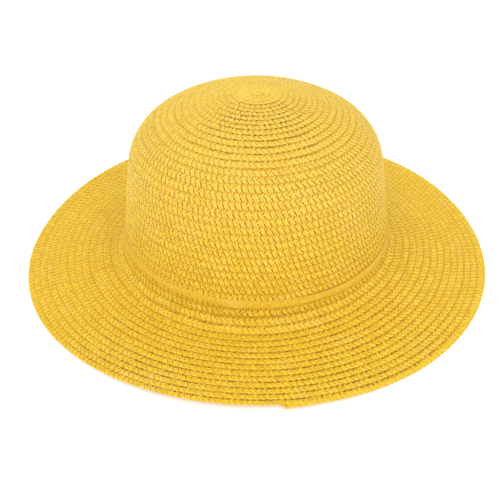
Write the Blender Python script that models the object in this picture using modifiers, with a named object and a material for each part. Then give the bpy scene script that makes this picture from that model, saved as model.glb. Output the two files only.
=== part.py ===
"""Wide-brim straw hat.

A hollow crown of sewn straw braid, a wavy brim that goes on from it, a narrow band over the
seam between the two, and the braid's cut end at the rim.  Metres, +Z up.  The hat rests on its
rim.  The origin is on the table under the middle of the crown, and -Y is the front.  An angle
round the hat is counted from the front towards +X, and a section is drawn as radius and height.
"""

import math
from collections import namedtuple

import bmesh
import bpy

# Straw: two laps of braid, and the space left between neighbouring pieces
STRAW = 0.002
GAP = 0.0003

# Crown, on its outer face: height, flat arc on top, round shoulder, side leaning out below
CROWN_TOP = 0.1225
TOP_RADIUS = 0.132
TOP_TURN = math.radians(30.5)
SHOULDER_RADIUS = 0.0365
WALL_LEAN = math.radians(6.9)

# Band: the height of its middle, its width up the side and its thickness
BAND_LEVEL = 0.0254
BAND_WIDTH = 0.006
BAND_THICKNESS = 0.0012

# Fold between side and brim: mean height, rise at both sides, more rise at +X, inside radius
FOLD_LEVEL = 0.010
FOLD_SADDLE = 0.003
FOLD_LEAN = 0.0018
FOLD_RADIUS = 0.009

# Brim: radius, flat underside of the rim, height of its waves, and how far they are pressed flat
BRIM_RADIUS = 0.160
RIM_FOOT = 0.0014
RIM_WAVE = 0.002
RIM_SAG = 0.0008

# Waves round the rim: how many go round it, and their cosine and sine as shares of RIM_WAVE
Wave = namedtuple("Wave", "count cosine sine")
RIM_WAVES = (
    Wave(1, 0.0, -0.37),
    Wave(2, 1.0, -0.1),
    Wave(3, 0.3, -0.55),
)

# Braid's cut end: its angle, how far it stands out, the length it takes to join the rim, its tip
END_ANGLE = math.radians(5.0)
END_REACH = 0.0022
END_LENGTH = 0.035
END_TIP = 0.0003

# Facets: round the hat, over each arc, across the brim, over the band and along the braid's end
SEGMENTS = 64
TOP_STEPS = 6
SHOULDER_STEPS = 7
FOLD_STEPS = 6
BRIM_STEPS = 4
BAND_STEPS = 6
END_STEPS = 8

# Colours
STRAW_YELLOW = (0.91, 0.58, 0.05, 1.0)
BAND_AMBER = (0.84, 0.44, 0.06, 1.0)

MERGE = 0.00001


def spread(start, end, steps):
    """Evenly spaced values from start to end, both included."""
    return [start + (end - start) * step / steps for step in range(steps + 1)]


def crown_arcs(inward):
    """Top and shoulder, from the axis to where the side runs straight, inward of the outer face."""
    top_hub = CROWN_TOP - TOP_RADIUS
    hub_reach = TOP_RADIUS - SHOULDER_RADIUS
    shoulder_hub = (hub_reach * math.sin(TOP_TURN), top_hub + hub_reach * math.cos(TOP_TURN))
    top = TOP_RADIUS - inward
    shoulder = SHOULDER_RADIUS - inward
    points = [
        (top * math.sin(turn), top_hub + top * math.cos(turn))
        for turn in spread(0.0, TOP_TURN, TOP_STEPS)
    ]
    side_turn = math.radians(90.0) - WALL_LEAN
    points += [
        (shoulder_hub[0] + shoulder * math.sin(turn), shoulder_hub[1] + shoulder * math.cos(turn))
        for turn in spread(TOP_TURN, side_turn, SHOULDER_STEPS)[1:]
    ]
    return points


def wall_point(below, inward):
    """Point of the straight side, down its slope from the band's middle and in from its face."""
    start_radius, start_height = crown_arcs(0.0)[-1]
    band_radius = start_radius + (start_height - BAND_LEVEL) * math.tan(WALL_LEAN)
    return (
        band_radius + below * math.sin(WALL_LEAN) - inward * math.cos(WALL_LEAN),
        BAND_LEVEL - below * math.cos(WALL_LEAN) - inward * math.sin(WALL_LEAN),
    )


def crown_outline():
    """Closed half section of the crown: down its outer face and back up its inner face."""
    outer = crown_arcs(0.0) + [wall_point(-GAP / 2, 0.0)]
    inner = crown_arcs(STRAW) + [wall_point(-GAP / 2, STRAW)]
    return outer + inner[::-1]


def band_outline():
    """Closed section of the band: a low half ellipse on a straight back along the side."""
    return [
        wall_point(
            BAND_WIDTH / 2 * math.sin(turn),
            -GAP - BAND_THICKNESS * math.cos(turn),
        )
        for turn in spread(math.radians(-90.0), math.radians(90.0), BAND_STEPS)
    ]


def rim_wave(angle):
    """Sum of the rim's waves at an angle."""
    return RIM_WAVE * sum(
        wave.cosine * math.cos(wave.count * angle) + wave.sine * math.sin(wave.count * angle)
        for wave in RIM_WAVES
    )


def section_angles():
    """Angles of the sections round the hat."""
    return spread(0.0, math.radians(360.0), SEGMENTS)[:-1]


def rim_height(angle):
    """Height of the rim's underside: 0 where its lowest places are pressed on the table."""
    lowest = min(rim_wave(other) for other in section_angles())
    return max(0.0, rim_wave(angle) - lowest - RIM_SAG)


def fold_height(angle):
    """Height at which the lines of the side and the brim would meet."""
    return FOLD_LEVEL - FOLD_SADDLE * math.cos(2 * angle) + FOLD_LEAN * math.sin(angle)


def brim_section(angle):
    """Closed section of the brim: down its upper face, round the rim and back underneath."""
    rim_low = rim_height(angle)
    rim_top = (BRIM_RADIUS, rim_low + STRAW)
    below = (BAND_LEVEL - fold_height(angle)) / math.cos(WALL_LEAN)
    corner = wall_point(below, 0.0)
    slope = math.atan2(corner[1] - rim_top[1], rim_top[0] - corner[0])
    brim_turn = math.radians(90.0) - slope
    setback = FOLD_RADIUS * math.tan((brim_turn - WALL_LEAN) / 2)
    hub = wall_point(below - setback, -FOLD_RADIUS)

    def fold_arc(inward):
        reach = FOLD_RADIUS + inward
        return [
            (hub[0] - reach * math.cos(turn), hub[1] - reach * math.sin(turn))
            for turn in spread(WALL_LEAN, brim_turn, FOLD_STEPS)
        ]

    def across(start, end):
        shares = spread(0.0, 1.0, BRIM_STEPS)[1:]
        return [tuple(a + (b - a) * share for a, b in zip(start, end)) for share in shares]

    upper = fold_arc(0.0)
    lower = fold_arc(STRAW)
    foot = (BRIM_RADIUS - RIM_FOOT, rim_low)
    top_face = [wall_point(GAP / 2, 0.0)] + upper + across(upper[-1], rim_top)
    under_face = [wall_point(GAP / 2, STRAW)] + lower + across(lower[-1], foot)
    return top_face + [(BRIM_RADIUS, rim_low)] + under_face[::-1]


def end_section(angle, share):
    """Section of the braid's end at an angle, share of its length away from the cut."""
    rim_low = rim_height(angle)
    inner = BRIM_RADIUS + GAP
    outer = inner + END_TIP + (END_REACH - END_TIP) * (1.0 - share) ** 2
    return [
        (inner, rim_low + STRAW),
        (outer, rim_low + STRAW),
        (outer, rim_low),
        (inner, rim_low),
    ]


def place(point, angle):
    """Point of a section turned to its angle round the hat."""
    radius, height = point
    return (radius * math.sin(angle), -radius * math.cos(angle), height)


def make_material(name, colour, roughness):
    """Principled material of one plain colour."""
    material = bpy.data.materials.new(name)
    material.use_nodes = True
    shader = material.node_tree.nodes["Principled BSDF"]
    shader.inputs["Base Color"].default_value = colour
    shader.inputs["Roughness"].default_value = roughness
    shader.inputs["Metallic"].default_value = 0.0
    return material


def add_object(name, mesh, material, parts):
    """Object for a mesh in the hat's collection."""
    mesh.materials.append(material)
    piece = bpy.data.objects.new(name, mesh)
    parts.objects.link(piece)
    return piece


def add_turned(name, outline, closed, material, parts):
    """Piece turned round the axis from an outline that runs down its outer face."""
    count = len(outline)
    edges = [(index, index + 1) for index in range(count - 1)]
    if closed:
        edges.append((count - 1, 0))
    mesh = bpy.data.meshes.new(name)
    mesh.from_pydata([(radius, 0.0, height) for radius, height in outline], edges, [])
    piece = add_object(name, mesh, material, parts)
    turn = piece.modifiers.new("turn", "SCREW")
    turn.axis = "Z"
    turn.angle = math.radians(360.0)
    turn.steps = SEGMENTS
    turn.render_steps = SEGMENTS
    turn.use_merge_vertices = True
    turn.merge_threshold = MERGE
    turn.use_smooth_shade = True
    return piece


def add_lofted(name, rings, looped, material, parts):
    """Piece lofted through rings of points, joined back to the first ring or capped at its ends."""
    shape = bmesh.new()
    rows = [[shape.verts.new(point) for point in ring] for ring in rings]
    pairs = list(zip(rows, rows[1:]))
    if looped:
        pairs.append((rows[-1], rows[0]))
    else:
        shape.faces.new(rows[0])
        shape.faces.new(rows[-1])
    for near, far in pairs:
        for index in range(len(near)):
            after = (index + 1) % len(near)
            shape.faces.new((near[index], near[after], far[after], far[index]))
    bmesh.ops.recalc_face_normals(shape, faces=shape.faces)
    mesh = bpy.data.meshes.new(name)
    shape.to_mesh(mesh)
    shape.free()
    mesh.shade_smooth()
    mesh.set_sharp_from_angle(angle=math.radians(40.0))
    return add_object(name, mesh, material, parts)


def build():
    """Clear the scene and build the hat."""
    for thing in list(bpy.data.objects):
        bpy.data.objects.remove(thing, do_unlink=True)
    parts = bpy.data.collections.new("straw_hat")
    bpy.context.scene.collection.children.link(parts)
    straw = make_material("straw", STRAW_YELLOW, 0.6)
    ribbon = make_material("band", BAND_AMBER, 0.45)

    add_turned("crown", crown_outline(), False, straw, parts)
    add_turned("band", band_outline(), True, ribbon, parts)

    angles = section_angles()
    brim = [[place(point, angle) for point in brim_section(angle)] for angle in angles]
    add_lofted("brim", brim, True, straw, parts)

    sweep = END_LENGTH / BRIM_RADIUS
    end = []
    for share in spread(0.0, 1.0, END_STEPS):
        angle = END_ANGLE + sweep * share
        end.append([place(point, angle) for point in end_section(angle, share)])
    add_lofted("braid_end", end, False, straw, parts)


build()
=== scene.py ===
"""Dresses the wide-brim straw hat for a studio picture.

The straw is one long flat plait of three strands.  It starts at the tip of the crown and is sewn
in a lapped spiral down the crown, over the fold and out to the rim, where it ends just right of
the front.  Every strand is a closed ribbon worked out as whole arrays.  A thin under layer stands
in for the straws that are hidden inside the plait, so that no light shows through it.

A place on the hat is given by `along`, metres down the outer face from the tip of the crown, by
`angle`, radians round the hat from the front towards +X, and by `out`, metres off that face.
"""

import math

import bpy
import numpy as np
from mathutils import Matrix, Vector


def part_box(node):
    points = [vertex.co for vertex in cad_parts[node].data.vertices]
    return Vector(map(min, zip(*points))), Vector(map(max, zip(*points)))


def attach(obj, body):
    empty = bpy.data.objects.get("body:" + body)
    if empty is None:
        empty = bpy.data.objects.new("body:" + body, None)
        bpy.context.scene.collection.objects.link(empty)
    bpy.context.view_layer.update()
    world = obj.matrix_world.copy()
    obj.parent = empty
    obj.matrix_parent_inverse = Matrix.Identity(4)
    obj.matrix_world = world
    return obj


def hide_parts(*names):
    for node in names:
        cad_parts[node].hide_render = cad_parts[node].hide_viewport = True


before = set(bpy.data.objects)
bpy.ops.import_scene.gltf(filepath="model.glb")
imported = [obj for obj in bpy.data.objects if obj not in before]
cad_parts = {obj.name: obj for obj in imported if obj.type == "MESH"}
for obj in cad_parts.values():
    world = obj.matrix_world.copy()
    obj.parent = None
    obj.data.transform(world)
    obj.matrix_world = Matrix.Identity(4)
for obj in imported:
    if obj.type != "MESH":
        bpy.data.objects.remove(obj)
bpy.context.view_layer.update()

TURN = 2.0 * math.pi

# Sizes of the hat, in metres: three read off the parts in model.glb, and the others as in the
# part's source
CROWN_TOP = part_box("crown")[1][2]
BAND_LEVEL = (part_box("band")[0][2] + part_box("band")[1][2]) / 2
BRIM_RADIUS = (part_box("brim")[1][0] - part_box("brim")[0][0]) / 2
STRAW = 0.002
TOP_RADIUS = 0.132
TOP_TURN = math.radians(30.5)
SHOULDER_RADIUS = 0.0365
WALL_LEAN = math.radians(6.9)
FOLD_LEVEL = 0.010
FOLD_SADDLE = 0.003
FOLD_LEAN = 0.0018
FOLD_RADIUS = 0.009

# Waves round the smooth rim: their height, how far they are pressed flat, how many sections the
# solid has, and for each wave how many go round, with its cosine and sine as shares of the height
RIM_WAVE = 0.002
RIM_SAG = 0.0008
RIM_SECTIONS = 64
RIM_WAVES = ((1, 0.0, -0.37), (2, 1.0, -0.1), (3, 0.3, -0.55))

# Rim of the thin braid against the smooth rim: how far it settles, the cosines of the angle over
# which that fades out behind, and the height, angle and spread of its lift behind on the right
RIM_SETTLE = 0.00105
SETTLE_FADE = (-0.2, -0.8)
RIM_LIFT = 0.0024
LIFT_ANGLE = math.radians(132.0)
LIFT_SPREAD = math.radians(32.0)

# Rows on the crown: spacing at the tip and on the side, the row where it changes, how gradually,
# and the row numbers among which the one at the band is looked for
TIP_PITCH = 0.00397
CROWN_PITCH = 0.00509
CHANGE_ROW = 11.9
CHANGE_ROWS = 1.0
ROWS_TRIED = np.linspace(0.0, 60.0, 6001)

# Rows on the brim: how many cross it, how much wider the inner ones are, and how many are sewn
BRIM_ROWS = 16.1
BRIM_BULGE = 0.08
LAST_ROW = 16.946

# Row: its width, the slope with which its outer edge lifts, and how deep its middle lies
ROW_WIDTH = 0.00645
LAP_SLOPE = 0.12
ROW_DEPTH = 0.0008

# Middle of the spiral: how far it lies behind and to the right of the crown's middle, and the
# distance over which the rows come back to the crown's middle
SPIRAL_BACK = 0.0056
SPIRAL_RIGHT = 0.0022
SPIRAL_REACH = 0.085

# Middle line of the plait: its samples, how softly the last row meets the rim, and an angle small
# enough to step over the cut end
LINE_SAMPLES = 60001
RIM_ROUNDING = 0.0004
HAIR = 1e-6

# Sway of the rows: size of a slow and of a quick wave, how many go round, the first one's phase
# and its change from row to row, and the metres from the rim over which it sets in
SWAY = 0.00018
SWAY_COUNT = 5.0
SWAY_PHASE = 1.7
SWAY_ROWS = 2.3
RIPPLE = 0.0001
RIPPLE_COUNT = 13.0
SWAY_REACH = 0.004

# Plait: spacing of its stitches, its strands, and the length after which they repeat
STITCH = 0.00185
STRANDS = 3
PERIOD = STRANDS * STITCH

# Stitches: how far they move into pairs and how sharply they change sides, their slant across the
# row, how far they bend in its middle and over what width
PAIRING = 0.00017
PAIR_SHARPNESS = 6.0
SKEW = -0.19
BEND = STITCH / 4
BEND_WIDTH = 0.0006

# Straws: width and thickness, how far they rise and sink where they cross, and over what width
# that turns in the middle of the row
STRAW_WIDTH = 0.00152
STRAW_THICKNESS = 0.0004
CROSSING_HEIGHT = 0.0003
CROSSING_REACH = 0.00035

# Samples of a strand in each period, the line across the row on which its length is measured, and
# the least radius by which metres are turned into an angle
SAMPLES_A_PERIOD = 8
STITCH_LINE = 0.0018
LEAST_RADIUS = 0.002

# Corners of a straw's section: shares of half its width to the side, and of its thickness up
SECTION = (1.0, 0.4, -0.4, -1.0)
SECTION_RISE = (-0.5, 0.5, 0.5, -0.5)

# Unevenness of the strands: metres between changes, first seed and size.  The swing is put off
# in radians, the place across and the height in metres, and the width by a share
SWING_UNEVEN = (0.007, 11, 0.22)
PLACE_UNEVEN = (0.005, 31, 0.0001)
WIDTH_UNEVEN = (0.009, 51, 0.08)
HEIGHT_UNEVEN = (0.006, 71, 0.00006)

# Crown's side, where the painted shade between stitches is at full strength: metres along over
# which that begins and ends
CROWN_SIDE_BEGIN = (0.060, 0.082)
CROWN_SIDE_END = (0.160, 0.176)

# Strength of the painted shade between stitches elsewhere, how much stronger it is at the sides of
# the hat, and metres past the lap over which it falls to that share
STITCH_SHADE_REST = 0.22
STITCH_SHADE_SIDES = 0.3
STITCH_SHADE_REACH = (0.0029, 0.0011)

# Strength of the painted shade on the laps: on the crown's side, and elsewhere on the left and on
# the right, where it is stronger, as if lit from the left
LAP_CROWN_SIDE = 0.35
LAP_LEFT = 0.5
LAP_RIGHT = 0.85

# Painted shade of holes on the laps: its share on the crown's side, and over which cosine of the
# angle it appears in front elsewhere
HOLE_CROWN_SIDE = 0.15
HOLE_FRONT = (0.35, 0.95)

# Tip of the crown where the stitches hardly show: metres along over which that ends, share left
TIP_QUIET = (0.0128, 0.0160)
TIP_SHARE = 0.08

# Top of the crown behind the tip, where they show less: the share lost, the cosine of the angle
# over which that begins, and metres along over which it ends
BACK_LOSS = 0.45
BACK_BEGIN = (0.5, -0.2)
BACK_END = (0.03, 0.06)

# Share of the stitches' show that is lost where the rim lifts behind on the right
LIFT_LOSS = 0.5

# Painted highlight on a few pale stitches: their angle and its spread, and how far in from the rim
# they lie and spread
GLINT_ANGLE = math.radians(-25.0)
GLINT_SPREAD = math.radians(9.0)
GLINT_DEPTH = 0.0085
GLINT_WIDTH = 0.0034

# Under layer: its thickness, the hole at the tip, how far it stays in from the rim, its rings and
# the samples across each face
UNDER_THICKNESS = 0.00015
UNDER_HOLE = 0.0016
UNDER_MARGIN = 0.0009
UNDER_RINGS = 180
UNDER_SAMPLES = 44

# Tip of the crown: radius of the first turn, and how far it is tucked under and then lifted
TIP_RADIUS = 0.0022
TIP_TURNS = (-1.0, -0.55, 0.1, 1.2)
TIP_LIFTS = (-0.0004, 0.0003, 0.0003, 0.0)

# Braid's cut end: its angle, its length, how far it stands out of the rim, the shares of that
# which fade over a long and a short stretch, and the depth and stretch of the dip before the cut
END_ANGLE = math.radians(5.0)
END_LENGTH = 0.035
END_REACH = 0.0022
LONG_SHARE = 0.35
LONG_FADE = math.radians(20.0)
SHORT_SHARE = 0.65
SHORT_FADE = math.radians(4.5)
END_DIP = 0.0009
DIP_FADE = math.radians(14.0)

# Band: its width and thickness, how far it sinks into the braid, how far it lies below its level,
# how much lower on the right, the share of its width lost at the sides, and its rings and corners
BAND_WIDTH = 0.0052
BAND_THICKNESS = 0.0015
BAND_INSET = 0.0011
BAND_SAG = 0.001
BAND_TILT = 0.0012
BAND_NARROWING = 0.2
BAND_RINGS = 540
BAND_CORNERS = 28

# Band's section: powers that square its ellipse sideways and outwards, depth of the creases in its
# face, how far they wander and how often
BAND_SQUARING = (0.6, 0.45)
CREASE = 0.00006
CREASE_WANDER = 1.2
CREASE_COUNT = 5

# Waves round the band, as size, count and phase: shares of its width, and metres that it sways
WIDTH_WAVES = ((0.04, 9, 0.0), (0.03, 23, 1.0))
BAND_WAVES = ((0.00015, 4, 0.6), (0.0001, 11, 0.0))

# Band's join: its angle and spread, the share by which the band is wider and thicker, its droop
JOIN_ANGLE = math.radians(-9.0)
JOIN_SPREAD = math.radians(4.5)
JOIN_WIDER = 0.2
JOIN_THICKER = 0.15
JOIN_DROOP = 0.00045

# Edges sharper than this are shaded as edges
SHARP = math.radians(75.0)

# Colours of the dyed straw: its two tones, its paler top, rubs and streaks, a painted highlight
# on a few stitches, and painted shades
DYE_DEEP = (0.700, 0.446, 0.015, 1.0)
DYE_LIGHT = (0.806, 0.569, 0.033, 1.0)
PALER_TOP = (0.72, 0.53, 0.108, 1.0)
RUBBED = (0.80, 0.62, 0.165, 1.0)
STREAKED = (0.58, 0.28, 0.012, 1.0)
PAINTED_GLINT = (0.86, 0.72, 0.42, 1.0)
SEAM_SHADE = (0.31, 0.13, 0.014, 1.0)
CROSSING_SHADE = (0.35, 0.145, 0.014, 1.0)
LAP_SHADE = (0.56, 0.27, 0.003, 1.0)
HOLE_SHADE = (0.17, 0.06, 0.002, 1.0)

# Shares of those colours, the ranges over which some set in, and the height where paling begins
PALER_TOP_SHARE = 0.45
PALER_TOP_LEVEL = 0.02
RUBBED_SHARE = 0.3
RUBBED_REACH = (0.5, 0.8)
STREAKED_SHARE = 0.3
STREAKED_REACH = (0.45, 0.75)
GLINT_SHARE = 0.55
GLINT_RARE = (0.68, 0.95)
GLINT_STRAND = 0.37
TONE_REACH = (0.35, 0.65)

# Shade on a straw's edges: the middle of its flat face, as a share of the way round, how far from
# there an edge sets in, its share, the seam values over which it darkens and the share added
FACE_MIDDLE = 0.375
EDGE_REACH = (0.17, 0.33)
EDGE_SHARE = 0.12
SEAM_REACH = (0.5, 0.9)
SEAM_SHARE = 0.85

# Shade where a straw goes under its neighbours: the levels over which it sets in, and its share
CROSSING_LEVELS = (0.05, -0.5)
CROSSING_SHARE = 0.8

# Shade on a lap: the metres past it over which it ends, its share, and what the tone adds to that
LAP_REACH = (0.0009, 0.0001)
LAP_SHARE = 0.45
LAP_TONE = 0.7

# Painted holes, dark as shade: metres past the lap within which they lie, the share of each that is
# fully dark, and two sets of them, as shift and size in pairs of stitches and the two chances
# between which one darkens
HOLE_REACH = (0.0013, 0.0006)
HOLE_CORE = 0.4
HOLE_SETS = ((0.0, 0.16, -0.6, 0.8), (0.5, 0.11, 0.4, 1.1))

# Fibres along a straw: how often the pattern repeats round it and in each metre, its scale, and
# the steps of the tone from strand to strand and from stitch to stitch
FIBRES_ROUND = 12.0
FIBRES_A_METRE = 130.0
FIBRE_SCALE = 1.6
TONE_STRAND = 7.3
TONE_STITCH = 0.8 / STITCH

# Colours of the under layer, browner as painted shade inside the plait, the scale of its mottle and
# the noise values between the two
UNDER_DEEP = (0.48, 0.22, 0.008, 1.0)
UNDER_LIGHT = (0.62, 0.33, 0.016, 1.0)
MOTTLE_SCALE = 700.0
MOTTLE_REACH = (0.35, 0.65)

# Colours of the band: its two tones, its paler patches, a painted shadow on its upper edge, painted
# light on its lower edge, its join, painted sheen at its sides, and the shares of the last five
BAND_DEEP = (0.58, 0.34, 0.010, 1.0)
BAND_LIGHT = (0.77, 0.50, 0.026, 1.0)
BAND_PALE = (0.75, 0.49, 0.06, 1.0)
BAND_SHADOW = (0.56, 0.27, 0.006, 1.0)
BAND_LOWER_LIGHT = (0.78, 0.52, 0.09, 1.0)
BAND_JOIN = (0.74, 0.46, 0.09, 1.0)
BAND_SIDE_SHEEN = (0.72, 0.47, 0.06, 1.0)
PALE_SHARE = 0.3
BAND_SHADOW_SHARE = 0.55
BAND_LOWER_LIGHT_SHARE = 0.35
JOIN_SHARE = 0.3
SIDE_SHEEN_SHARE = 0.4

# Where they set in: noise values, places round the section, and metres from the join and sideways
THREAD_REACH = (0.3, 0.7)
PALE_REACH = (0.45, 0.75)
BAND_SHADOW_REACH = (0.22, 0.04)
BAND_LOWER_LIGHT_REACH = (0.34, 0.46)
JOIN_REACH = (0.0095, 0.003)
SIDE_SHEEN_REACH = (0.03, 0.08)

# Threads of the band: how often the pattern repeats round it and in each metre
THREADS_ROUND = 9.0
THREADS_A_METRE = 500.0

# Scales of the patches on the straw and on the band, and the depth of both bumps in metres
STRAW_PATCH_SCALE = 60.0
BAND_PATCH_SCALE = 45.0
BUMP_DEPTH = 0.0001


def crown_face(along):
    """Radius, height and outward direction on the crown: flat arc, shoulder arc, straight side.

    On an arc the point is the arc's centre plus its radius turned by the distance covered.  On
    the side it moves down the straight line that leans outwards.
    """
    side_turn = TURN / 4 - WALL_LEAN
    hub_reach = TOP_RADIUS - SHOULDER_RADIUS
    top_hub = CROWN_TOP - TOP_RADIUS
    hub_radius = hub_reach * math.sin(TOP_TURN)
    hub_height = top_hub + hub_reach * math.cos(TOP_TURN)
    top_length = TOP_RADIUS * TOP_TURN
    shoulder_length = SHOULDER_RADIUS * (side_turn - TOP_TURN)
    on_top = along < top_length
    turn = np.where(
        on_top,
        along / TOP_RADIUS,
        np.minimum(TOP_TURN + (along - top_length) / SHOULDER_RADIUS, side_turn),
    )
    reach = np.where(on_top, TOP_RADIUS, SHOULDER_RADIUS)
    down = np.maximum(along - top_length - shoulder_length, 0.0)
    radius = np.where(on_top, 0.0, hub_radius) + reach * np.sin(turn)
    radius = radius + down * math.sin(WALL_LEAN)
    height = np.where(on_top, top_hub, hub_height) + reach * np.cos(turn)
    height = height - down * math.cos(WALL_LEAN)
    return radius, height, np.sin(turn), np.cos(turn)


def band_along():
    """Distance from the tip of the crown to the middle of the band."""
    arcs = TOP_RADIUS * TOP_TURN + SHOULDER_RADIUS * (TURN / 4 - WALL_LEAN - TOP_TURN)
    height = crown_face(np.array([arcs]))[1][0]
    return arcs + (height - BAND_LEVEL) / math.cos(WALL_LEAN)


def crown_edge(row):
    """Outer edge and spacing of a row of the crown, counted from the tip.

    The edge is the tip's spacing times the row, plus the rise of the spacing times a soft ramp
    that starts at the change row.  The spacing is the slope of that sum.
    """
    step = (row - CHANGE_ROW) / CHANGE_ROWS
    start = math.log1p(math.exp(-CHANGE_ROW / CHANGE_ROWS))
    wider_rows = CHANGE_ROWS * (np.logaddexp(0.0, step) - start)
    rise = CROWN_PITCH - TIP_PITCH
    return TIP_PITCH * row + rise * wider_rows, TIP_PITCH + rise / (1.0 + np.exp(-step))


BAND_ALONG = band_along()
BAND_RADIUS = float(crown_face(np.array([BAND_ALONG]))[0][0])
CROWN_ROWS = float(np.interp(BAND_ALONG, crown_edge(ROWS_TRIED)[0], ROWS_TRIED))


def rim_wave(angle):
    """Sum of the rim's cosine and sine waves."""
    waves = [
        cosine * np.cos(count * angle) + sine * np.sin(count * angle)
        for count, cosine, sine in RIM_WAVES
    ]
    return RIM_WAVE * sum(waves)


LOWEST_WAVE = float(rim_wave(np.linspace(0.0, TURN, RIM_SECTIONS + 1)).min())


def rim_height(angle):
    """Height of the rim's underside: waves above the lowest one, less the sag, never below 0."""
    lift = rim_wave(angle) - LOWEST_WAVE - RIM_SAG
    return np.maximum(lift, 0.0)


def ramp(value, low, high):
    """Smooth 0 to 1 as an array goes from low to high: 3 t squared less 2 t cubed."""
    share = np.clip((value - low) / (high - low), 0.0, 1.0)
    return share * share * (3.0 - 2.0 * share)


def near_angle(angle, middle, spread):
    """Bell-shaped share, 1 at the middle angle and fading over the spread on both sides."""
    off = np.mod(angle - middle + TURN / 2, TURN) - TURN / 2
    return np.exp(-((off / spread) ** 2))


def rim_shift(angle):
    """Height of the braid's rim over the smooth rim: lower, but higher behind on the right.

    The braid is thinner than the smooth wall, so it settles on the table by a constant that fades
    out behind, and a bell-shaped lift follows the photo's rim behind on the right.
    """
    settle = RIM_SETTLE * (1.0 - ramp(np.cos(angle), *SETTLE_FADE))
    return RIM_LIFT * near_angle(angle, LIFT_ANGLE, LIFT_SPREAD) - settle


def brim_parts(angle):
    """Lengths and slopes of the brim's section: side, fold arc and straight brim to the rim."""
    fold = FOLD_LEVEL - FOLD_SADDLE * np.cos(2 * angle) + FOLD_LEAN * np.sin(angle)
    below = (BAND_LEVEL - fold) / math.cos(WALL_LEAN)
    corner_radius = BAND_RADIUS + below * math.sin(WALL_LEAN)
    run = BRIM_RADIUS - corner_radius
    rise = fold - rim_height(angle) - rim_shift(angle) - STRAW
    slope = np.arctan2(rise, run)
    bend = TURN / 4 - slope - WALL_LEAN
    setback = FOLD_RADIUS * np.tan(bend / 2)
    return below - setback, FOLD_RADIUS * bend, np.hypot(run, rise) - setback, slope


def brim_length(angle):
    """Distance from the middle of the band to the rim at an angle."""
    side, arc, straight = brim_parts(angle)[:3]
    return side + arc + straight


def brim_face(down, angle):
    """Radius, height and outward direction, `down` metres past the middle of the band.

    The side goes straight on, the fold turns round a centre outside the hat, and the brim runs
    straight from there to the rim, with a slope that changes round the hat.
    """
    side, arc, _, slope = brim_parts(angle)
    on_side = np.minimum(down, side)
    turn = WALL_LEAN + np.clip(down - side, 0.0, arc) / FOLD_RADIUS
    beyond = np.maximum(down - side - arc, 0.0)
    radius = BAND_RADIUS + on_side * math.sin(WALL_LEAN)
    radius = radius + FOLD_RADIUS * (math.cos(WALL_LEAN) - np.cos(turn))
    radius = radius + beyond * np.cos(slope)
    height = BAND_LEVEL - on_side * math.cos(WALL_LEAN)
    height = height + FOLD_RADIUS * (math.sin(WALL_LEAN) - np.sin(turn))
    height = height - beyond * np.sin(slope)
    return radius, height, np.cos(turn), np.sin(turn)


def straw_face(along, angle):
    """Radius, height and outward direction of the straw's outer face anywhere on the hat."""
    on_crown = crown_face(along)
    on_brim = brim_face(along - BAND_ALONG, angle)
    return [np.where(along < BAND_ALONG, crown, brim) for crown, brim in zip(on_crown, on_brim)]


def off_centre(along, angle):
    """Along and angle of a place on the spiral, whose middle is not the crown's middle.

    The crown is unrolled flat, and the place is moved back and to the right by a bell-shaped
    share of the full shift.
    """
    share = np.exp(-((along / SPIRAL_REACH) ** 2))
    right = along * np.sin(angle) + SPIRAL_RIGHT * share
    front = along * np.cos(angle) - SPIRAL_BACK * share
    return np.hypot(right, front), np.arctan2(right, front)


def place(along, angle, out):
    """Points of the hat: the outer face turned to its angle, moved off along its direction."""
    radius, height, out_radius, out_height = straw_face(along, angle)
    radius = radius + out * out_radius
    height = height + out * out_height
    return np.stack([radius * np.sin(angle), -radius * np.cos(angle), height], axis=-1)


def rim_along(angle):
    """Where the rim is: the brim's length, a flare at the cut end and a dip on its other side.

    The flare is a sum of a long and a short fading exponential of the angle past the cut, and
    the dip is an exponential of the angle that is left to a full turn.
    """
    past = np.mod(angle - END_ANGLE, TURN)
    flare = LONG_SHARE * np.exp(-past / LONG_FADE) + SHORT_SHARE * np.exp(-past / SHORT_FADE)
    dip = np.exp(-(TURN - past) / DIP_FADE)
    return BAND_ALONG + brim_length(angle) + END_REACH * flare - END_DIP * dip


def uneven(travel, spacing, seed):
    """Smooth unevenness about 0: seeded values every `spacing` metres, joined by cosine steps."""
    step = travel / spacing
    whole = np.floor(step).astype(int)
    share = 0.5 - 0.5 * np.cos(math.pi * (step - whole))
    values = np.random.default_rng(seed).uniform(-1.0, 1.0, int(whole.max()) + 3)
    return values[whole] * (1.0 - share) + values[whole + 1] * share


def uneven_strands(travel, spacing, seed, size):
    """Unevenness of every strand at the metres travelled, each from a seed of its own."""
    strands = [uneven(travel, spacing, seed + strand) for strand in range(STRANDS)]
    return size * np.concatenate(strands)


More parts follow.
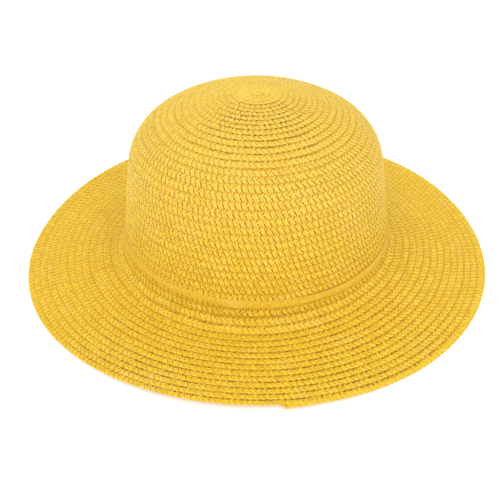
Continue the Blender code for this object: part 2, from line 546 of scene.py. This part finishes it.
def spiral():
    """The plait's middle line from the tip to the cut end: angle, along, lift, lap and travel.

    A row's outer edge lies one spacing further out for each turn, but never past the rim, and the
    middle of the plait lies half its width in from that edge.  Before that the plait makes one
    tight turn at the tip, tucked under itself.  The lap is where the edge of the row before lies,
    measured across this row from its middle.  The metres travelled are the sum of radius times
    turning, on a line nearer the row's outer edge, because the inner edge is gathered.
    """
    rows = CROWN_ROWS + LAST_ROW
    turned = np.linspace(-TURN, (rows - 1.0) * TURN, LINE_SAMPLES)
    angle = END_ANGLE + turned[-1] - turned
    edge_row = np.maximum(turned, 0.0) / TURN + 1.0
    past_band = np.maximum(edge_row - CROWN_ROWS, 0.0) / BRIM_ROWS
    crown_part, crown_pitch = crown_edge(np.minimum(edge_row, CROWN_ROWS))
    length = brim_length(angle)
    edge = crown_part + length * (past_band + BRIM_BULGE * past_band * (1.0 - past_band))
    brim_pitch = length / BRIM_ROWS * (1.0 + BRIM_BULGE * (1.0 - 2.0 * past_band))
    rim = rim_along(angle + HAIR)
    edge = 0.5 * (edge + rim - np.sqrt((edge - rim) ** 2 + RIM_ROUNDING**2))
    lap = ROW_WIDTH / 2 - np.where(past_band > 0.0, brim_pitch, crown_pitch)
    sway = SWAY * np.sin(SWAY_COUNT * angle + SWAY_PHASE) * np.sin(SWAY_ROWS * edge_row)
    sway = sway + RIPPLE * np.sin(RIPPLE_COUNT * angle)
    inside = np.clip((rim - edge) / SWAY_REACH, 0.0, 1.0) * np.clip(turned / TURN, 0.0, 1.0)
    along = np.maximum(edge - ROW_WIDTH / 2, TIP_RADIUS) + sway * inside
    lift = np.interp(turned / TURN, TIP_TURNS, TIP_LIFTS)
    radius = straw_face(along + STITCH_LINE, angle)[0]
    steps = 0.5 * (radius[1:] + radius[:-1]) * np.diff(turned)
    travel = np.concatenate([[0.0], np.cumsum(steps)])
    return angle, along, lift, lap, travel


def show_marks(along, angle, past_lap):
    """Strengths of the painted shade between stitches, on the laps and in painted holes on the
    plait.

    Each goes smoothly from its value on the crown's side to its value elsewhere.  All are scaled
    by what shows at all: little at the tip, and less behind it and where the rim lifts.
    """
    behind = ramp(np.cos(angle), *BACK_BEGIN) * (1.0 - ramp(along, *BACK_END))
    lifted = near_angle(angle, LIFT_ANGLE, LIFT_SPREAD) * ramp(along, *CROWN_SIDE_END)
    shown = TIP_SHARE + (1.0 - TIP_SHARE) * ramp(along, *TIP_QUIET)
    shown = shown * (1.0 - BACK_LOSS * behind) * (1.0 - LIFT_LOSS * lifted)
    switched_on = ramp(along, *CROWN_SIDE_BEGIN) * (1.0 - ramp(along, *CROWN_SIDE_END))
    rest = STITCH_SHADE_REST + STITCH_SHADE_SIDES * np.sin(angle) ** 2
    stitch_shade = rest + (1.0 - rest) * ramp(past_lap, *STITCH_SHADE_REACH)
    # Painted shade on the laps, stronger on the right as if lit from the left
    lap_shading = LAP_LEFT + (LAP_RIGHT - LAP_LEFT) * (0.5 + 0.5 * np.sin(angle))
    hole_shading = ramp(np.cos(angle), *HOLE_FRONT)
    return {
        "stitch_shade": shown * (switched_on + (1.0 - switched_on) * stitch_shade),
        "lap_shading": shown * (switched_on * LAP_CROWN_SIDE + (1.0 - switched_on) * lap_shading),
        "hole_shading": shown * (switched_on * HOLE_CROWN_SIDE + (1.0 - switched_on) * hole_shading),
    }


def glint_mark(depth, angle):
    """Where the painted highlight lies: one bell-shaped share round the hat times one in from the
    rim.
    """
    share = near_angle(angle, GLINT_ANGLE, GLINT_SPREAD)
    return share * np.exp(-(((depth - GLINT_DEPTH) / GLINT_WIDTH) ** 2))


def strand_rings(line, first, last):
    """Rings of the plait's strands between two samples, as (strand, sample, corner, xyz).

    A strand swings across the row as a cosine.  Its height is the crossing height, times the
    sine, times a soft sign of its place across, so that it lies over its neighbours while it
    comes in from either edge and under them while it goes out.  Stitches are moved along the
    plait by turns forward and back, which brings them together in pairs, and a soft step bends
    them in the middle of the row.  The section stands square to the path and is a flat top with
    sloping sides.  The whole row leans, so that its outer edge lies on the next row.

    The metres travelled come with the rings, and marks for each corner: its metres past the edge
    of the row before, its level from -1 under to 1 over its neighbours, a seam value that is high
    on the side facing the next pair, and the strengths of the painted shade and of the painted
    highlight that show_marks and the highlight's mark give.
    """
    angle_line, along_line, lift_line, lap_line, travel_line = line
    travel = np.arange(first, last + 1) * (PERIOD / SAMPLES_A_PERIOD)
    travel = np.minimum(travel, travel_line[-1])[None, :, None]
    strand = np.arange(STRANDS)[:, None, None]
    angle = np.interp(travel, travel_line, angle_line)
    along = np.interp(travel, travel_line, along_line)

    swing = (ROW_WIDTH - STRAW_WIDTH) / 2
    even_phase = TURN * (travel / PERIOD + strand / STRANDS)
    phase = even_phase + uneven_strands(travel, *SWING_UNEVEN)
    across = swing * np.cos(phase) + uneven_strands(travel, *PLACE_UNEVEN)
    lean = -swing * TURN / PERIOD * np.sin(phase)
    size = np.hypot(1.0, lean)
    side = np.array(SECTION) * STRAW_WIDTH / 2 * (1.0 + uneven_strands(travel, *WIDTH_UNEVEN))
    sideways = across + side / size

    pair = np.where(strand % 2, 1.0, -1.0) * np.tanh(PAIR_SHARPNESS * np.cos(even_phase / 2))
    bend = BEND * np.tanh(sideways / BEND_WIDTH)
    forward = -side * lean / size + SKEW * sideways + PAIRING * pair + bend

    level = np.sin(phase) * np.tanh(sideways / CROSSING_REACH)
    body = np.array(SECTION_RISE) * STRAW_THICKNESS
    out = CROSSING_HEIGHT * level + LAP_SLOPE * sideways + body - ROW_DEPTH
    out = out + uneven_strands(travel, *HEIGHT_UNEVEN)
    out = out + np.interp(travel, travel_line, lift_line)
    radius = straw_face(along + np.maximum(across, 0.0), angle)[0]
    radius = np.maximum(radius, LEAST_RADIUS)
    points = place(*off_centre(along + sideways, angle - forward / radius), out)

    past_lap = sideways - np.interp(travel, travel_line, lap_line)
    seam = 0.5 + 0.5 * np.sign(pair * lean) * np.array(SECTION)
    depth = BAND_ALONG + brim_length(angle) - along - sideways
    marks = {"past_lap": past_lap, "level": level, "seam": seam}
    marks |= show_marks(along, angle, past_lap)
    marks["glint"] = glint_mark(depth, angle)
    return points, np.broadcast_to(travel[..., 0], points.shape[:2]), marks


def under_angles():
    """Angles of the under layer's rings."""
    return np.linspace(0.0, TURN, UNDER_RINGS, endpoint=False)[:, None]


def under_rings(start, finish):
    """Rings of the under layer: a thin closed section from `start` to `finish` along the hat.

    Both are the same all round or one value for each angle.  The section runs out on the upper
    face, at the depth of the plait's middle, and back on the lower one, and is carried once
    round the hat.
    """
    around = under_angles()
    share = np.linspace(0.0, 1.0, UNDER_SAMPLES)[None, :]
    along = np.broadcast_to(start + (finish - start) * share, (UNDER_RINGS, UNDER_SAMPLES))
    along = np.concatenate([along, along[:, ::-1]], axis=1)
    out = np.repeat([0.0, -UNDER_THICKNESS], UNDER_SAMPLES)[None, :] - ROW_DEPTH
    points = place(*off_centre(along, around), out)[None]
    return points, (around[:, 0] * BAND_RADIUS)[None]


def wavering(angle, waves):
    """Sum of sine waves round the hat, each with its size, its count and its phase."""
    return sum(size * np.sin(count * angle + phase) for size, count, phase in waves)


def squared(value, power):
    """Value whose size is raised to a power and whose sign is kept."""
    return np.sign(value) * np.abs(value) ** power


def band_rings():
    """Rings of the band: a rounded flat section carried round the foot of the crown.

    The section is a squared ellipse.  The band lies a little lower on the right than on the left,
    and is narrower at the sides of the hat.  It swells and droops where its ends are joined, its
    edges waver by a few tenths of a millimetre, and a cosine across it makes faint creases.
    """
    around = np.linspace(0.0, TURN, BAND_RINGS, endpoint=False)[:, None]
    turn = np.linspace(0.0, TURN, BAND_CORNERS, endpoint=False)[None, :]
    join = near_angle(around, JOIN_ANGLE, JOIN_SPREAD)
    width = BAND_WIDTH * (1.0 + JOIN_WIDER * join + wavering(around, WIDTH_WAVES))
    width = width * (1.0 - BAND_NARROWING * np.sin(around) ** 2)
    thick = BAND_THICKNESS * (1.0 + JOIN_THICKER * join)
    side = squared(np.cos(turn), BAND_SQUARING[0])
    body = squared(np.sin(turn), BAND_SQUARING[1])
    sway = wavering(around, BAND_WAVES) + JOIN_DROOP * join
    sway = sway + BAND_SAG + BAND_TILT * np.sin(around)
    wander = CREASE_WANDER * np.sin(CREASE_COUNT * around)
    crease = CREASE * np.cos(TURN * side + wander) * (body > 0)
    along = BAND_ALONG + sway - side * width / 2
    out = -BAND_INSET + thick / 2 + body * thick / 2 + crease
    points = place(along, around, out)[None]
    return points, (around[:, 0] * BAND_RADIUS)[None]


def strand_map(travel, corners, looped):
    """Map of the quads between rings: share of the way round the section, and metres travelled.

    A tube's number is added to the share.  The corners of a quad come in the order near, near
    and next, far and next, far.
    """
    near = travel if looped else travel[:, :-1]
    far = np.roll(travel, -1, axis=1) if looped else travel[:, 1:]
    shape = near.shape + (corners,)
    share = np.arange(corners) / corners + np.arange(len(travel))[:, None, None]
    share = np.broadcast_to(share, shape)
    after = share + 1.0 / corners
    near = np.broadcast_to(near[..., None], shape)
    far = np.broadcast_to(far[..., None], shape)
    shares = np.stack([share, after, after, share], axis=-1)
    metres = np.stack([near, near, far, far], axis=-1)
    return np.stack([shares, metres], axis=-1).reshape(-1, 2)


def ring_mesh(name, rings, travel, looped, marks=None):
    """Mesh of closed tubes from (tube, ring, corner, xyz): quads between rings, and end caps.

    The map named strand is that of strand_map, with one place for all the caps.  Each mark
    becomes a value of the points under its own name.
    """
    tubes, count, corners = rings.shape[:3]
    ids = np.arange(tubes * count * corners).reshape(tubes, count, corners)
    near = ids if looped else ids[:, :-1]
    far = np.roll(ids, -1, axis=1) if looped else ids[:, 1:]
    quads = np.stack([near, np.roll(near, -1, 2), np.roll(far, -1, 2), far], axis=-1)
    faces = quads.reshape(-1, 4).tolist()
    uvs = strand_map(travel, corners, looped)
    if not looped:
        faces += ids[:, 0, ::-1].tolist() + ids[:, -1].tolist()
        cap_place = 1.0 / corners
        uvs = np.concatenate([uvs, np.full((2 * tubes * corners, 2), cap_place)])
    mesh = bpy.data.meshes.new(name)
    mesh.from_pydata(rings.reshape(-1, 3), [], faces)
    layer = mesh.uv_layers.new(name="strand")
    layer.data.foreach_set("uv", uvs.astype(np.float32).ravel())
    for mark, values in (marks or {}).items():
        attribute = mesh.attributes.new(mark, "FLOAT", "POINT")
        flat = np.broadcast_to(values, rings.shape[:3]).astype(np.float32).ravel()
        attribute.data.foreach_set("value", flat)
    mesh.shade_smooth()
    mesh.set_sharp_from_angle(angle=SHARP)
    return mesh


def add_piece(name, mesh, material, slot, *nodes):
    """Object for a finished mesh, riding on the hat and standing for its CAD nodes."""
    piece = bpy.data.objects.new(name, mesh)
    bpy.context.scene.collection.objects.link(piece)
    mesh.materials.append(material)
    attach(piece, "root")
    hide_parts(*nodes)


def new_material(name):
    """Principled material, its node tree and its shader."""
    material = bpy.data.materials.new(name)
    material.use_nodes = True
    return material, material.node_tree, material.node_tree.nodes["Principled BSDF"]


def add_node(tree, kind, values=None, **settings):
    """Shader node with its settings and its unlinked input values."""
    node = tree.nodes.new(kind)
    for key, value in settings.items():
        setattr(node, key, value)
    for key, value in (values or {}).items():
        node.inputs[key].default_value = value
    return node


def math_node(tree, operation, first, second=0.0, third=0.0):
    """Math node on up to three sockets or numbers, giving its output socket."""
    node = add_node(tree, "ShaderNodeMath", operation=operation)
    for index, value in enumerate((first, second, third)):
        if isinstance(value, (int, float)):
            node.inputs[index].default_value = value
        else:
            tree.links.new(value, node.inputs[index])
    return node.outputs[0]


def product(tree, first, second):
    """Product of two sockets or numbers."""
    return math_node(tree, "MULTIPLY", first, second)


def smooth_step(tree, value, low, high):
    """Smooth 0 to 1 as a socket's value goes from low to high."""
    limits = {"From Min": low, "From Max": high}
    node = add_node(tree, "ShaderNodeMapRange", limits, interpolation_type="SMOOTHSTEP")
    tree.links.new(value, node.inputs["Value"])
    return node.outputs["Result"]


def mix_colour(tree, share, first, second):
    """Colour mix of two sockets or colours by a share."""
    node = add_node(tree, "ShaderNodeMix", data_type="RGBA", blend_type="MIX")
    for index, value in ((0, share), (6, first), (7, second)):
        if isinstance(value, tuple):
            node.inputs[index].default_value = value
        else:
            tree.links.new(value, node.inputs[index])
    return node.outputs[2]


def noise(tree, vector, scale, detail, roughness):
    """Noise value on a vector socket."""
    values = {"Scale": scale, "Detail": detail, "Roughness": roughness}
    node = add_node(tree, "ShaderNodeTexNoise", values)
    tree.links.new(vector, node.inputs["Vector"])
    return node.outputs["Fac"]


def chance(tree, cell):
    """Random value from 0 to 1 for a cell's number."""
    node = add_node(tree, "ShaderNodeTexWhiteNoise", noise_dimensions="1D")
    tree.links.new(cell, node.inputs["W"])
    return node.outputs["Value"]


def point_value(tree, name):
    """Value of the points under a name, as a socket."""
    return add_node(tree, "ShaderNodeAttribute", attribute_name=name).outputs["Fac"]


def object_place(tree):
    """Place in the hat's own metres, as a vector socket."""
    return add_node(tree, "ShaderNodeTexCoord").outputs["Object"]


def axis_value(tree, vector, axis):
    """One axis of a vector socket."""
    node = add_node(tree, "ShaderNodeSeparateXYZ")
    tree.links.new(vector, node.inputs["Vector"])
    return node.outputs[axis]


def stretched(tree, first, times, second, second_times):
    """Vector of two values, each times a number."""
    node = add_node(tree, "ShaderNodeCombineXYZ")
    tree.links.new(product(tree, first, times), node.inputs["X"])
    tree.links.new(product(tree, second, second_times), node.inputs["Y"])
    return node.outputs["Vector"]


def strand_place(tree):
    """Place round a piece's section, with its tube's number added, and metres travelled."""
    uv = add_node(tree, "ShaderNodeUVMap", uv_map="strand").outputs["UV"]
    return axis_value(tree, uv, "X"), axis_value(tree, uv, "Y")


def finish_surface(tree, shader, colour, roughness, specular):
    """Colour and gloss of a material's shader."""
    tree.links.new(colour, shader.inputs["Base Color"])
    shader.inputs["Roughness"].default_value = roughness
    shader.inputs["Specular IOR Level"].default_value = specular


def add_bump(tree, shader, height, strength):
    """Fine relief from a height value."""
    bump = add_node(tree, "ShaderNodeBump", {"Strength": strength, "Distance": BUMP_DEPTH})
    tree.links.new(height, bump.inputs["Height"])
    tree.links.new(bump.outputs["Normal"], shader.inputs["Normal"])


def painted_holes(tree, travel):
    """Share of the painted shade of holes between stitches, by metres along the plait.

    There is one between every two pairs, of uneven strength, and now and then one inside a pair.
    """
    cell = math_node(tree, "DIVIDE", travel, 2.0 * STITCH)
    found = []
    for shift, size, weak, strong in HOLE_SETS:
        moved = math_node(tree, "ADD", cell, shift)
        off = math_node(tree, "SUBTRACT", math_node(tree, "FRACT", moved), 0.5)
        off = math_node(tree, "ABSOLUTE", off)
        switched_on = smooth_step(tree, chance(tree, math_node(tree, "FLOOR", moved)), weak, strong)
        found.append(product(tree, smooth_step(tree, off, size, HOLE_CORE * size), switched_on))
    return math_node(tree, "MAXIMUM", *found)


def glinting_stitches(tree, strand, travel):
    """Share of a painted highlight on single stitches, where the points are marked for it."""
    cell = math_node(tree, "FLOOR", math_node(tree, "DIVIDE", travel, PERIOD / 2))
    cell = math_node(tree, "MULTIPLY_ADD", strand, GLINT_STRAND, cell)
    rare = smooth_step(tree, chance(tree, cell), *GLINT_RARE)
    return product(tree, product(tree, point_value(tree, "glint"), GLINT_SHARE), rare)


def dye_and_glint_colour(tree, strand, travel, tone, fibre):
    """Colour of the straw: two dye tones, paler up the crown, paler rubs, streaks, and a painted
    highlight on a few stitches.
    """
    where = object_place(tree)
    paler_up = smooth_step(tree, axis_value(tree, where, "Z"), PALER_TOP_LEVEL, CROWN_TOP)
    patch = noise(tree, where, STRAW_PATCH_SCALE, detail=3.0, roughness=0.6)
    rubbed = smooth_step(tree, patch, *RUBBED_REACH)
    streaked = smooth_step(tree, fibre, *STREAKED_REACH)
    colour = mix_colour(tree, smooth_step(tree, tone, *TONE_REACH), DYE_DEEP, DYE_LIGHT)
    colour = mix_colour(tree, product(tree, paler_up, PALER_TOP_SHARE), colour, PALER_TOP)
    colour = mix_colour(tree, product(tree, rubbed, RUBBED_SHARE), colour, RUBBED)
    colour = mix_colour(tree, product(tree, streaked, STREAKED_SHARE), colour, STREAKED)
    return mix_colour(tree, glinting_stitches(tree, strand, travel), colour, PAINTED_GLINT)


def shaded_colour(tree, colour, round_place, travel, tone):
    """Painted shade at seams between pairs, at crossings and under each row's edge, and in painted
    holes.

    Marks on the points tell how near these are to a place and how much they show there.
    """
    stitch_shade = point_value(tree, "stitch_shade")
    past_lap = point_value(tree, "past_lap")
    off = math_node(tree, "SUBTRACT", math_node(tree, "FRACT", round_place), FACE_MIDDLE)
    edge = smooth_step(tree, math_node(tree, "ABSOLUTE", off), *EDGE_REACH)
    seam = smooth_step(tree, point_value(tree, "seam"), *SEAM_REACH)
    seam = product(tree, edge, math_node(tree, "MULTIPLY_ADD", seam, SEAM_SHARE, EDGE_SHARE))
    seam = product(tree, seam, stitch_shade)
    crossing = smooth_step(tree, point_value(tree, "level"), *CROSSING_LEVELS)
    crossing = product(tree, product(tree, crossing, stitch_shade), CROSSING_SHARE)
    lap = smooth_step(tree, past_lap, *LAP_REACH)
    lap = product(tree, lap, math_node(tree, "MULTIPLY_ADD", tone, LAP_TONE, LAP_SHARE))
    lap = product(tree, lap, point_value(tree, "lap_shading"))
    hole = product(tree, painted_holes(tree, travel), smooth_step(tree, past_lap, *HOLE_REACH))
    hole = product(tree, hole, point_value(tree, "hole_shading"))
    colour = mix_colour(tree, seam, colour, SEAM_SHADE)
    colour = mix_colour(tree, crossing, colour, CROSSING_SHADE)
    colour = mix_colour(tree, lap, colour, LAP_SHADE)
    return mix_colour(tree, hole, colour, HOLE_SHADE)


def straw_material():
    """Dyed paper straw: a tone for each stitch, fibres along it, and shade where straws meet."""
    material, tree, shader = new_material("dyed_straw")
    round_place, travel = strand_place(tree)
    strand = math_node(tree, "FLOOR", round_place)
    fibres = stretched(tree, round_place, FIBRES_ROUND, travel, FIBRES_A_METRE)
    fibre = noise(tree, fibres, FIBRE_SCALE, detail=3.0, roughness=0.6)
    tones = stretched(tree, strand, TONE_STRAND, travel, TONE_STITCH)
    tone = noise(tree, tones, 1.0, detail=1.0, roughness=0.5)
    colour = dye_and_glint_colour(tree, strand, travel, tone, fibre)
    colour = shaded_colour(tree, colour, round_place, travel, tone)
    finish_surface(tree, shader, colour, roughness=0.5, specular=0.3)
    add_bump(tree, shader, fibre, strength=0.4)
    return material


def under_material():
    """Straw inside the plait, painted browner as shade, with a fine mottle."""
    material, tree, shader = new_material("under_straw")
    mottle = noise(tree, object_place(tree), MOTTLE_SCALE, detail=2.0, roughness=0.6)
    colour = mix_colour(tree, smooth_step(tree, mottle, *MOTTLE_REACH), UNDER_DEEP, UNDER_LIGHT)
    finish_surface(tree, shader, colour, roughness=0.7, specular=0.2)
    return material


def band_material():
    """Satin-like band: fine threads along it, paler patches, painted shadow on the upper edge,
    painted light on the lower edge, painted sheen at the sides, a soft gloss.
    """
    material, tree, shader = new_material("satin_band")
    round_place, travel = strand_place(tree)
    where = object_place(tree)
    threads = stretched(tree, round_place, THREADS_ROUND, travel, THREADS_A_METRE)
    thread = noise(tree, threads, 1.0, detail=3.0, roughness=0.6)
    patch = noise(tree, where, BAND_PATCH_SCALE, detail=2.0, roughness=0.5)
    off_join = math_node(tree, "SUBTRACT", travel, (TURN + JOIN_ANGLE) * BAND_RADIUS)
    off_join = math_node(tree, "ABSOLUTE", off_join)
    sideways = math_node(tree, "ABSOLUTE", axis_value(tree, where, "X"))
    layers = (
        (patch, PALE_REACH, PALE_SHARE, BAND_PALE),
        # Painted shadow on the upper edge, painted light on the lower edge, and painted sheen at
        # the sides
        (round_place, BAND_SHADOW_REACH, BAND_SHADOW_SHARE, BAND_SHADOW),
        (round_place, BAND_LOWER_LIGHT_REACH, BAND_LOWER_LIGHT_SHARE, BAND_LOWER_LIGHT),
        (off_join, JOIN_REACH, JOIN_SHARE, BAND_JOIN),
        (sideways, SIDE_SHEEN_REACH, SIDE_SHEEN_SHARE, BAND_SIDE_SHEEN),
    )
    colour = mix_colour(tree, smooth_step(tree, thread, *THREAD_REACH), BAND_DEEP, BAND_LIGHT)
    for value, reach, share, shade in layers:
        amount = product(tree, smooth_step(tree, value, *reach), share)
        colour = mix_colour(tree, amount, colour, shade)
    finish_surface(tree, shader, colour, roughness=0.42, specular=0.45)
    add_bump(tree, shader, thread, strength=0.35)
    return material


def add_camera():
    """Camera at the photo's angle: a target near the hat's foot, a distance, a tilt and a roll."""
    distance = 0.700
    tilt = math.radians(35.64)
    roll = math.radians(-0.71)
    target = Vector((-0.00443, 0.0, 0.00111))
    focal_pixels = 986.6
    image_pixels = 500.0
    data = bpy.data.cameras.new("camera")
    data.sensor_width = 36.0
    data.lens = focal_pixels / image_pixels * data.sensor_width
    camera = bpy.data.objects.new("camera", data)
    bpy.context.scene.collection.objects.link(camera)
    position = target + distance * Vector((0.0, -math.cos(tilt), math.sin(tilt)))
    turn = Matrix.Rotation(TURN / 4 - tilt, 4, "X") @ Matrix.Rotation(roll, 4, "Z")
    camera.matrix_world = Matrix.Translation(position) @ turn
    bpy.context.scene.camera = camera


def add_floor():
    """Pale matt floor, lit a little from below so that the hat's shadow stays faint."""
    reach = 6.0
    signs = ((-1, -1), (1, -1), (1, 1), (-1, 1))
    mesh = bpy.data.meshes.new("floor")
    mesh.from_pydata([(reach * x, reach * y, 0.0) for x, y in signs], [], [(0, 1, 2, 3)])
    floor = bpy.data.objects.new("floor", mesh)
    bpy.context.scene.collection.objects.link(floor)
    material, _, shader = new_material("pale_floor")
    shader.inputs["Base Color"].default_value = (0.97, 0.97, 0.965, 1.0)
    shader.inputs["Emission Color"].default_value = (1.0, 1.0, 1.0, 1.0)
    shader.inputs["Emission Strength"].default_value = 0.34
    shader.inputs["Roughness"].default_value = 0.9
    shader.inputs["Specular IOR Level"].default_value = 0.1
    mesh.materials.append(material)


def add_surround():
    """White surround that lights the hat from all sides."""
    world = bpy.data.worlds.new("surround")
    world.use_nodes = True
    background = world.node_tree.nodes["Background"]
    background.inputs["Color"].default_value = (1.0, 1.0, 1.0, 1.0)
    background.inputs["Strength"].default_value = 1.03
    bpy.context.scene.world = world


def add_top_light():
    """Square soft light above and in front of the hat, facing the crown."""
    position = Vector((0.02, -0.7, 1.25))
    toward = Vector((0.0, 0.0, 0.05)) - position
    data = bpy.data.lights.new("top_light", "AREA")
    data.size = 1.3
    data.energy = 9.5
    light = bpy.data.objects.new("top_light", data)
    bpy.context.scene.collection.objects.link(light)
    turn = toward.to_track_quat("-Z", "Y").to_matrix().to_4x4()
    light.matrix_world = Matrix.Translation(position) @ turn


def add_braid():
    """The plait in stretches of equal length on the crown and on the brim, and its cut end."""
    line = spiral()
    straw = straw_material()
    along_line, travel_line = line[1], line[-1]
    samples = int(round(travel_line[-1] / PERIOD * SAMPLES_A_PERIOD))
    end_start = samples - int(round(END_LENGTH / PERIOD * SAMPLES_A_PERIOD))
    at_band = int(np.interp(BAND_ALONG, along_line, travel_line) / PERIOD * SAMPLES_A_PERIOD)
    stretches = []
    for node, parts, start, finish in (
        ("crown", ("tip", "shoulder", "side"), 0, at_band),
        ("brim", ("fold", "middle", "rim"), at_band, end_start),
    ):
        cuts = np.linspace(start, finish, len(parts) + 1).round().astype(int)
        for part, first, last in zip(parts, cuts, cuts[1:]):
            stretches.append((f"{node}_braid_{part}", node, first, last))
    stretches.append(("braid_cut_end", "braid_end", end_start, samples))
    for name, node, first, last in stretches:
        rings, travel, marks = strand_rings(line, first, last)
        add_piece(name, ring_mesh(name, rings, travel, False, marks), straw, "straw", node)


def add_under_layers():
    """Under layers of the crown and of the brim, which meet at the band's middle."""
    under = under_material()
    rim = rim_along(under_angles()) - UNDER_MARGIN
    for name, node, start, finish in (
        ("crown_under_layer", "crown", UNDER_HOLE, BAND_ALONG),
        ("brim_under_layer", "brim", BAND_ALONG, rim),
    ):
        rings, travel = under_rings(start, finish)
        add_piece(name, ring_mesh(name, rings, travel, True), under, "straw", node)


def add_band():
    """The band, in one closed piece."""
    rings, travel = band_rings()
    mesh = ring_mesh("satin_band", rings, travel, True)
    add_piece("satin_band", mesh, band_material(), "band", "band")


add_camera()
add_floor()
add_surround()
add_top_light()
bpy.context.scene.view_settings.view_transform = "Standard"

add_braid()
add_under_layers()
add_band()
